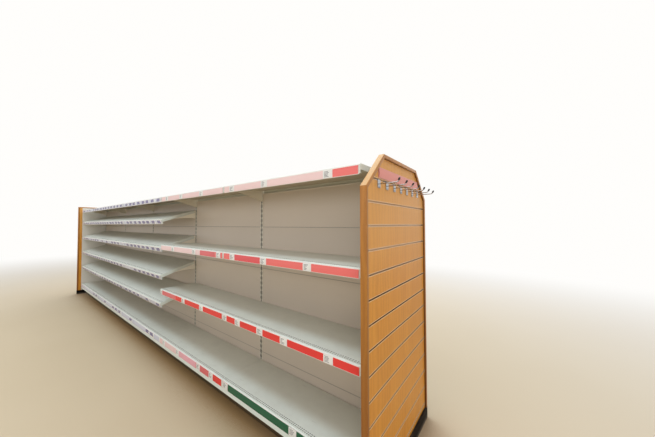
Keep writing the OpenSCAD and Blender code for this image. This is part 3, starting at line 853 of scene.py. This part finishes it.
def frame_length(name, outer, inner, x0, depth, shift):
    """One mitred length. A profile point (s, t) lies s of the way from the outer corner to the
    inner one, and t along X. Each end has its own outer and inner corner, which makes the
    mitre. u is the distance along the length, so the grain isn't bent by the cut."""
    loop = rounded_box(FRAME_W, abs(depth), LIPPING_R)
    s, t = loop[:, 0] / FRAME_W, loop[:, 1] * math.copysign(1, depth)
    yz = outer[:, None] + (inner - outer)[:, None] * s[None, :, None]
    points = np.concatenate([np.broadcast_to(x0 + t[None, :, None], (2, len(t), 1)), yz], axis=2)
    run = (outer[1] - outer[0]) / np.linalg.norm(outer[1] - outer[0])
    u = shift + (yz - outer[0]) @ run
    faces, uvs = tube(u, loop)
    ends = [np.column_stack([u[0], loop[:, 1]])[::-1], np.column_stack([u[1], loop[:, 1]])]
    return build(name, points.reshape(-1, 3), faces, np.vstack([uvs, *ends]), "beech_wood", lipping)


def wooden_frame(side, cut, x0, depth):
    """All lengths of one frame. They stand for the frame's CAD node."""
    outer, inner = outline(0, cut), outline(FRAME_W, cut)
    titles = ["front_stile", "front_corner", "top", "rear_corner", "rear_stile"]
    for k, title in enumerate(titles if cut else titles[::2]):
        piece = frame_length(f"{side}_frame_{title}", outer[k:k + 2], inner[k:k + 2], x0, depth,
                             GRAIN_SHIFT * (k + 1))
        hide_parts(f"{side}_end_frame")


near_lo, near_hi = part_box("near_end_frame")
far_lo, far_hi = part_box("far_end_frame")
wooden_frame("near", True, near_lo.x, near_hi.x - near_lo.x)
wooden_frame("far", False, far_hi.x, far_lo.x - far_hi.x)

# %% [markdown]
# ## Papers and tickets
#
# Every shelf front carries a ticket strip. On it lie runs of coloured paper, and price
# tickets cover the joints between them. Near the end panel the papers are red, the base
# has a green one, and the bays with sloping shelves have pale tickets close together. A card
# must lie flat on its strip, also where the strip slopes, so first comes the place of each
# strip: an origin and two directions, worked out from the slot that its shelf hangs in.

# %% Where the strips are
def strip_place(level, rear=False):
    """Origin on the strip's back, at the height of its top edge, and its outward and upward
    directions. A sloping strip is turned about the shelf's hook, by the shelf's slope."""
    tilt = SLOPE if level in SLOPE_SLOTS else 0.0
    shift = BACK_GAP + BACK_FOLD * math.sin(SLOPE) if tilt else 0.0
    slots = {**LEVEL_SLOTS, **SLOPE_SLOTS}
    pivot = BASE_DECK if level == "base" else FIRST_DECK + slots[level] * SLOT_PITCH
    depth = (strip_front - post_half_d - shift) / math.cos(tilt) - STRIP_T
    side = 1 if rear else -1
    out = np.array([0, side * math.cos(tilt), -math.sin(tilt)])
    up = np.array([0, side * math.sin(tilt), math.cos(tilt)])
    hook = np.array([0, side * (post_half_d + shift), pivot])
    return hook + out * depth - up * STRIP_TOP, out, up


def levels_of(bay):
    """Names of the strips in a bay, from the floor up."""
    return ["base", *LEVEL_SLOTS] if bay <= LEVEL_BAYS else ["base", *SLOPE_SLOTS, "top"]


for level in ("base", "top", "slope_1"):
    origin, out, up = strip_place(level)
    print(level, "strip front at y =", round(float((origin + out * STRIP_T)[1]), 4))

# %% [markdown]
# A card could be a flat box, but real card in a strip bows a little, and the bow gives each
# one its own soft highlight. So a card is swept: its section is bowed, and it runs along the
# strip.

# %% Cards
CARD_T = 0.4 * MM
CARD_STATIONS = 0.25  # metres between two stations of a long paper
CARD_PLAY = 0.1 * MM  # between a paper and the strip
PAPER_H = 35 * MM
PAPER_DROP = 3 * MM  # from the strip's top edge to the paper
BASE_PAPER_H = 42 * MM
TICKET_H = 37 * MM
BASE_TICKET_H = 43 * MM
TICKET_DROP = 1.5 * MM
PAPER_BOW = 0.6 * MM
TICKET_BOW = 0.9 * MM
NUMBERS_PER_METRE = 50  # how fast a ticket's own number grows along the run


def card_section(start, height, stand, bow, rows=7):
    """Closed section of a bowed card. For t from 0 to 1 its face is stand + bow * sin(pi t) out
    from the strip's back and start + height * t up. Its back lies one thickness behind."""
    t = np.linspace(0, 1, rows)
    face = np.column_stack([stand + bow * np.sin(math.pi * t), start + height * t])
    return np.vstack([face, face[::-1] - [CARD_T, 0]])


def card(x0, x1, place, height, drop, stand, bow, lean=0.0):
    """A card from x0 to x1, from drop under the strip's top edge down. lean turns it a little
    in its own plane."""
    origin, out, up = place
    xs = np.linspace(x0, x1, 2 + int(abs(x1 - x0) / CARD_STATIONS))
    path = origin + np.outer(xs, [1, 0, 0]) + np.outer(lean * (xs - xs.mean()), up)
    return sweep(card_section(-drop, -height, stand, bow), path, out, up)


def paper(x0, x1, place, level):
    """A run of coloured paper, close to the strip's face. The papers of the base are taller."""
    height, drop = (BASE_PAPER_H, TICKET_DROP) if level == "base" else (PAPER_H, PAPER_DROP)
    return card(x0, x1, place, height, drop, STRIP_T + CARD_T + CARD_PLAY, PAPER_BOW)


def ticket(x, width, place, level, lean):
    """A price ticket over the paper. Its u starts at a whole number of its own, from which the
    material makes the lengths of its bars."""
    height = BASE_TICKET_H if level == "base" else TICKET_H
    points, faces, uvs = card(x - width / 2, x + width / 2, place, height, TICKET_DROP,
                              STRIP_T + 3 * CARD_T, TICKET_BOW, lean)
    return points, faces, uvs + [math.floor(-NUMBERS_PER_METRE * x), 0]


print("a paper is", round(PAPER_H / MM), "mm high, a ticket", round(TICKET_H / MM), "mm")

# %% [markdown]
# Where the tickets sit and where the paper changes colour was read off the photograph for the
# level shelves of the front. The places are in millimetres from the first upright. The rear
# can't be seen, so it gets places of its own. On the sloping shelves the tickets are too small
# to read one by one, so they are dealt out at random with the spacing that shows. All cards of
# one side, bay and colour become one mesh, which keeps the number of pieces low.

# %% Runs of colour and ticket places
TICKET_W = 52 * MM
TICKET_LEAN = 0.02
SLOPE_TICKET_W = 98 * MM
SLOPE_TICKET_STEPS = (112, 122, 136)  # millimetres from one to the next
SLOPE_TICKET_PLAY = 12  # the most that the first one is moved in, in millimetres
SLOPE_TICKET_IN = 52 * MM  # from the strip's end to the first place for a ticket's middle
SLOPE_TICKET_CHANCE = 0.92
BASE_TICKET_CHANCE = 0.25
PAPER_IN = 2  # millimetres from the strip's end to the paper
PAPER_GAP = 1  # half of the gap between two papers, in millimetres
FRONT_TICKETS = {
    "top": (163, 597, 905, 1290, 1610, 1880),
    "upper": (285, 603, 898, 1057, 1390, 1750),
    "lower": (163, 442, 631, 838, 973, 1275, 1554, 1972),
    "base": (378, 962, 1137, 1309, 1640, 1905),
}
FRONT_RUNS = {
    "top": ((0, "lit_red"), (187, "pink")),
    "upper": ((0, "lit_red"), (603, "cerise"), (898, "lit_red"), (1100, "rose"), (1300, "pink")),
    "lower": ((0, "red"), (1690, "rose")),
    "base": ((0, "green"), (935, "red"), (1112, "rose"), (1345, "blush"), (1640, "pink")),
}
REAR_TICKETS = {
    "top": (240, 760, 1310, 1820),
    "upper": (180, 520, 905, 1230, 1640),
    "lower": (300, 700, 1120, 1480, 1860),
    "base": (420, 950, 1400, 1790),
}
REAR_RUNS = {
    "top": ((0, "pink"),),
    "upper": ((0, "red"),),
    "lower": ((0, "red"),),
    "base": ((0, "green"),),
}


def fill_level_bay(bay, level, rear, cards):
    """Papers between the tickets of one strip, and the tickets over their joints. Each ticket
    leans by a sine of its place. Places are in millimetres from the first upright."""
    tickets, runs = (REAR_TICKETS, REAR_RUNS) if rear else (FRONT_TICKETS, FRONT_RUNS)
    place = strip_place(level, rear)
    near = (STRIP_IN - post_x[bay - 1]) / MM
    far = (-STRIP_IN - post_x[bay]) / MM
    here = [t for t in tickets[level] if near < t < far]
    starts = [start for start, _ in runs[level] if near < start < far]
    cuts = sorted({near + PAPER_IN, far - PAPER_IN, *here, *starts})
    for a, b in zip(cuts[:-1], cuts[1:]):
        colour = [name for start, name in runs[level] if start <= (a + b) / 2][-1]
        cards[colour].append(paper(-(a + PAPER_GAP) * MM, -(b - PAPER_GAP) * MM, place, level))
    for t in here:
        half = min(TICKET_W / 2, (t - near) * MM, (far - t) * MM)
        lean = TICKET_LEAN * math.sin(7.3 * t)
        cards["ticket"].append(ticket(-t * MM, 2 * half, place, level, lean))


def fill_slope_bay(bay, level, rear, cards, rng):
    """Tickets close together, with a few gaps where the pale paper shows. The base has few."""
    place = strip_place(level, rear)
    near, far = post_x[bay - 1] - STRIP_IN, post_x[bay] + STRIP_IN
    cards["lilac"].append(paper(near - PAPER_IN * MM, far + PAPER_IN * MM, place, level))
    x = near - SLOPE_TICKET_IN - rng.uniform(0, SLOPE_TICKET_PLAY) * MM
    while x > far + SLOPE_TICKET_IN:
        if rng.random() < (BASE_TICKET_CHANCE if level == "base" else SLOPE_TICKET_CHANCE):
            lean = rng.uniform(-TICKET_LEAN, TICKET_LEAN)
            cards["slope_ticket"].append(ticket(x, SLOPE_TICKET_W, place, level, lean))
        x -= rng.choice(SLOPE_TICKET_STEPS) * MM


rng = np.random.default_rng(12)
for side in ("front", "rear"):
    for bay in range(1, BAYS + 1):
        cards = defaultdict(list)
        for level in levels_of(bay):
            if bay <= LEVEL_BAYS:
                fill_level_bay(bay, level, side == "rear", cards)
            else:
                fill_slope_bay(bay, level, side == "rear", cards, rng)
        for colour, parts in cards.items():
            build(f"{side}_bay_{bay}_{colour}_cards", *join(parts), "strip_plastic", papers[colour])

# %% [markdown]
# ## The ticket rail of the near panel
#
# Above the hooks a ticket rail runs from one cut corner to the other. It holds one long faded
# red paper, which is a card like the others, swept along Y.

# %% Rail paper
RAIL_LIP = 2.5 * MM  # from the rail's edges to the paper, above and below
RAIL_IN = 3 * MM  # from the rail's ends to the paper
RAIL_BOW = 0.8 * MM
RAIL_STATIONS = 5
rail_lo, rail_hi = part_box("near_end_ticket_rail")
rail_section = card_section(RAIL_LIP, rail_hi.z - rail_lo.z - 2 * RAIL_LIP,
                            STRIP_T + CARD_T + CARD_PLAY, RAIL_BOW, rows=9)
rail_y = np.linspace(rail_lo.y + RAIL_IN, rail_hi.y - RAIL_IN, RAIL_STATIONS)
rail_path = np.column_stack([np.full(RAIL_STATIONS, rail_lo.x), rail_y, np.full(RAIL_STATIONS, rail_lo.z)])
rail_paper = sweep(rail_section, rail_path, [1, 0, 0], [0, 0, 1])
build("near_rail_paper", *rail_paper, "strip_plastic", papers["rail"])

# %% [markdown]
# ## Display hooks
#
# A hook is a small plate whose lip reaches into the groove and stands up in it, with a welded
# wire arm that ends in a raised tip. In the CAD model the arm is made of straight cylinders.
# The real wire is bent, so a circle is swept along a smooth path here. The tip gets the black
# plastic cap that stops what hangs there from sliding off: the same sweep, with a radius that
# changes along the way.

# %% Hooks
HOOKS = 7
HOOK_STEP = 82 * MM  # from one hook to the next
WIRE_R = 2.5 * MM
HOOK_L = 80 * MM
TIP_L = 16 * MM
TIP_RISE = math.radians(60)
BEND_R = 9 * MM
PLATE_W = 26 * MM
PLATE_H = 34 * MM
PLATE_T = 2 * MM
LIP_DEPTH = 7.4 * MM  # how far the plate's lip reaches into the groove
LIP_UP = 8 * MM  # how far it stands up in there
CAP_L = 15 * MM
CAP_R = 4 * MM
CAP_OVER = 11 * MM  # how far the cap reaches back over the wire
POINT_R = 0.05 * MM  # radius left at both ends of the cap
BARE_END = 5 * MM  # how far the wire ends short of the tip
hook_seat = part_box("near_end_liners")[1].x
plate_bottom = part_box("near_end_hooks")[0].z
plate_top = plate_bottom + PLATE_H
wire_z = plate_bottom + PLATE_H / 2
rise = np.array([math.cos(TIP_RISE), 0, math.sin(TIP_RISE)])
off_rise = np.array([-math.sin(TIP_RISE), 0, math.cos(TIP_RISE)])


def wire_path(y):
    """The arm: straight out, then an arc of the bend radius up to the rise angle, then straight
    along that angle. Returns its points and the angle at each of them."""
    turn = np.linspace(0, TIP_RISE, 9)
    start = np.array([hook_seat + PLATE_T / 2, y, wire_z])
    bend = start + [HOOK_L - BEND_R * math.tan(TIP_RISE / 2), 0, 0]
    arc = bend + BEND_R * np.column_stack([np.sin(turn), np.zeros(9), 1 - np.cos(turn)])
    end = arc[-1] + (TIP_L - BARE_END) * rise
    return np.vstack([start, arc, end]), np.concatenate([[0], turn, [TIP_RISE]])


def hook_wire(y):
    """A circle carried along the arm's path, square to it."""
    path, angle = wire_path(y)
    upward = np.column_stack([-np.sin(angle), np.zeros(len(angle)), np.cos(angle)])
    return sweep(circle(WIRE_R, 12), path, [0, 1, 0], upward)


def hook_tip(y):
    """The cap, a circle along the end of the wire. At a share s of its length the radius is
    CAP_R times the root of 1 - (2 s - 1)^4, which swells and closes like an egg."""
    s = np.linspace(0, 1, 12)
    radius = np.maximum(POINT_R, CAP_R * np.sqrt(np.clip(1 - (2 * s - 1) ** 4, 0, 1)))
    path = wire_path(y)[0][-1] + np.outer(CAP_L * s - CAP_OVER, rise)
    return sweep(circle(1, 14), path, np.outer(radius, [0, 1, 0]), np.outer(radius, off_rise))


def hook_plate(y):
    """The plate with its lip, as a bent sheet: an outline in X and Z carried across Y."""
    x, z = hook_seat, plate_top
    lip_x = x - LIP_DEPTH
    loop = np.array([[x, z], [lip_x, z], [lip_x, z + LIP_UP], [lip_x - PLATE_T, z + LIP_UP],
                     [lip_x - PLATE_T, z - PLATE_T], [x, z - PLATE_T], [x, z - PLATE_H],
                     [x + PLATE_T, z - PLATE_H], [x + PLATE_T, z]])
    path = np.array([[0, y - PLATE_W / 2, 0], [0, y + PLATE_W / 2, 0]])
    return sweep(loop, path, [1, 0, 0], [0, 0, 1])


hook_y = [(k - (HOOKS - 1) / 2) * HOOK_STEP for k in range(HOOKS)]
for title, maker, finish in (("plates", hook_plate, hook_metal), ("wires", hook_wire, hook_metal),
                             ("tips", hook_tip, tip_plastic)):
    piece = build(f"near_hook_{title}", *join([maker(y) for y in hook_y]), "wire_chrome", finish, sharp=50)
    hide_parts("near_end_hooks")

# %% [markdown]
# ## Floor and light
#
# The object stands on a plain pale floor. A small plane would show its edge, so the floor is
# large, and its material fades to the white of the background. The light is soft and plain:
# four large panels overhead, a smaller one on the near end, and a long one along each
# side, so that a colour renders about as it is written. The surroundings are white to the
# camera and to glossy surfaces, but the light they give is weaker.

# %% Floor
FLOOR = 60.0  # metres
FLOOR_LIGHT = srgb(216, 202, 174)
FLOOR_DARK = srgb(207, 191, 160)
FLOOR_SHADE = srgb(148, 118, 76)
SHADE_REACH = 0.3  # how far from the object the painted shade on the floor reaches
FADE = (1.0, 6.6)  # metres from the middle of the run
FADE_SHAPE = (0.6, 1.0, 1.0)  # the fade reaches further along the run than across it
BACKGROUND = (1.0, 0.99, 0.97, 1.0)


def seen_directly(tree):
    """1 where the camera, a mirror or glass looks, and 0 for the rays that light the object."""
    seen, glossy, through = (add(tree, "LightPath", out=f"Is {kind} Ray")
                             for kind in ("Camera", "Glossy", "Transmission"))
    return seen.calc("MAXIMUM", glossy).calc("MAXIMUM", through)


def floor_with_painted_shade(place):
    """Plain and pale, and browner close to the object, as painted shade where the ambient occlusion is
    low.
    """
    clean = blend(noise(place, 0.8, 2.0), FLOOR_LIGHT, FLOOR_DARK)
    # Painted shade: where the ambient occlusion is low, the floor is blended towards brown.
    openness = add(place.tree, "AmbientOcclusion", {"Distance": SHADE_REACH}, out="AO", samples=8)
    return {"Base Color": blend(step_up(openness, 0.45, 1.0), FLOOR_SHADE, clean), "Roughness": 0.7}


def fade_out(made):
    """Far from the object, the material turns into the white of the background."""
    tree = made.node_tree
    offset = {0: add(tree, "TexCoord", out="Object"), 1: (post_x[-1] / 2, 0, 0)}
    centred = add(tree, "VectorMath", offset, operation="SUBTRACT")
    away = add(tree, "VectorMath", {0: stretched(centred, FADE_SHAPE)}, out="Value", operation="LENGTH")
    fade = step_up(away, *FADE) * seen_directly(tree)
    floor = Value(tree.nodes["Principled BSDF"].outputs[0])
    white = add(tree, "Emission", {"Color": BACKGROUND, "Strength": 1.0})
    both = add(tree, "MixShader", {0: fade, 1: floor, 2: white})
    put(tree.nodes["Material Output"], {"Surface": both})


def lay_floor(made):
    """One large square under the object."""
    mesh = bpy.data.meshes.new("floor")
    h = FLOOR / 2
    mesh.from_pydata([(-h, -h, 0), (h, -h, 0), (h, h, 0), (-h, h, 0)], [], [(0, 1, 2, 3)])
    mesh.materials.append(made)
    plane = bpy.data.objects.new("floor", mesh)
    bpy.context.scene.collection.objects.link(plane)
    plane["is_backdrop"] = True


def pale_world(seen, light):
    """White where the camera, a mirror or glass looks, and a weaker grey for the light."""
    world = bpy.data.worlds.new("pale room")
    world.use_nodes = True
    strength = seen_directly(world.node_tree) * (seen - light) + light
    put(world.node_tree.nodes["Background"], {"Color": BACKGROUND, "Strength": strength})
    bpy.context.scene.world = world


pale_floor = new_material("pale floor", floor_with_painted_shade)
fade_out(pale_floor)
lay_floor(pale_floor)
pale_world(seen=1.0, light=0.26)
print("floor of", FLOOR, "m, fading over", FADE, "m")

# %% [markdown]
# Area lamps are used, because the softness of their shadows comes from their size alone. Each
# has a place, a point that it is turned to, its two sizes in metres and its power in watts.

# %% Lamps
OVERHEAD_Z = 4.6
OVERHEAD_X = 1.9  # middle of the first panel
OVERHEAD_STEP = 3.0  # from one to the next
OVERHEAD_POWER = 98  # watts of each


def soft_panel(name, place, aim, size, power):
    """A rectangular area lamp at a place, turned towards a point."""
    lamp = bpy.data.lights.new(name, "AREA")
    lamp.shape = "RECTANGLE"
    lamp.size, lamp.size_y = size
    lamp.energy = power
    made = bpy.data.objects.new(name, lamp)
    made.location = place
    made.rotation_mode = "QUATERNION"
    made.rotation_quaternion = (Vector(aim) - Vector(place)).to_track_quat("-Z", "Y")
    bpy.context.scene.collection.objects.link(made)


for k in range(4):
    x = OVERHEAD_X - OVERHEAD_STEP * k
    soft_panel(f"overhead panel {k + 1}", (x, 0, OVERHEAD_Z), (x, 0, 0), (OVERHEAD_STEP, 9.0),
               OVERHEAD_POWER)
soft_panel("light on the near end", (2.6, -2.6, 1.9), (-0.4, -0.2, 0.7), (2.4, 2.0), 34)
soft_panel("light along the front", (-2.6, -4.6, 2.0), (-2.6, 0, 0.7), (7.0, 1.6), 40)
soft_panel("light along the rear", (-2.6, 4.6, 2.0), (-2.6, 0, 0.7), (7.0, 1.6), 40)
bpy.context.scene.view_settings.view_transform = "Standard"
print("lamps:", len(bpy.data.lights))

# %% Sizes and finish
visual_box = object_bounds()
({"cad": [list(cad_box[0]), list(cad_box[1])],
           "visual": [list(visual_box[0]), list(visual_box[1])]})
print("visual box:", [round(v, 3) for corner in visual_box for v in corner])
